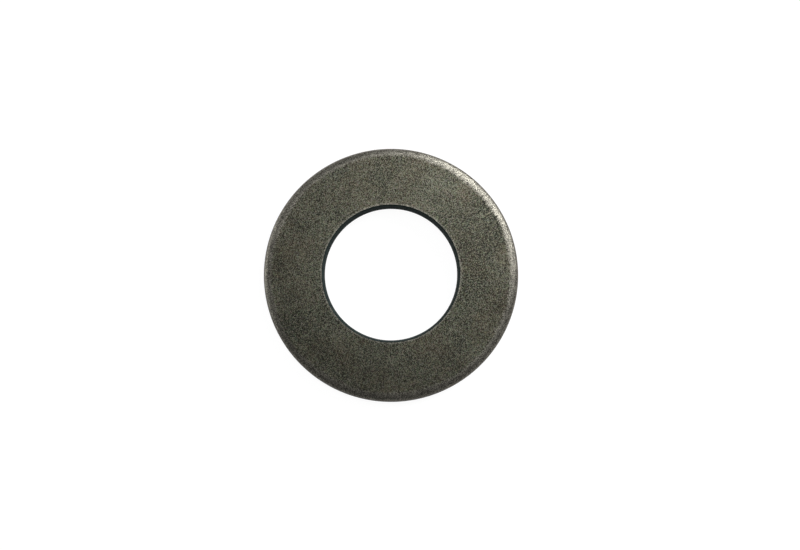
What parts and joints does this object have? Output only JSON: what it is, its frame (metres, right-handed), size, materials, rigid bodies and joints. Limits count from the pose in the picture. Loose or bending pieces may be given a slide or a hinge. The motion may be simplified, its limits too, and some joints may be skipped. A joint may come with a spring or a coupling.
{
  "type": "disc spring",
  "caption": "Conical ring washer that acts as a stiff, short-travel spring, with a plain round bore and an upper outer edge that rolls over.",
  "frame": {"origin": "on the spring's axis, in the plane that its lower outer edge stands on", "axes": "+Z along the axis, from the seat towards the crown"},
  "size_m": [0.0314, 0.0314, 0.0024],
  "materials": {
    "spring_steel": "hardened spring steel with a dark, matt, lightly oiled phosphate coat, polished a little at the rolled edge"
  },
  "bodies": {
    "root": {"disc_spring": "spring_steel"}
  },
  "joints": []
}
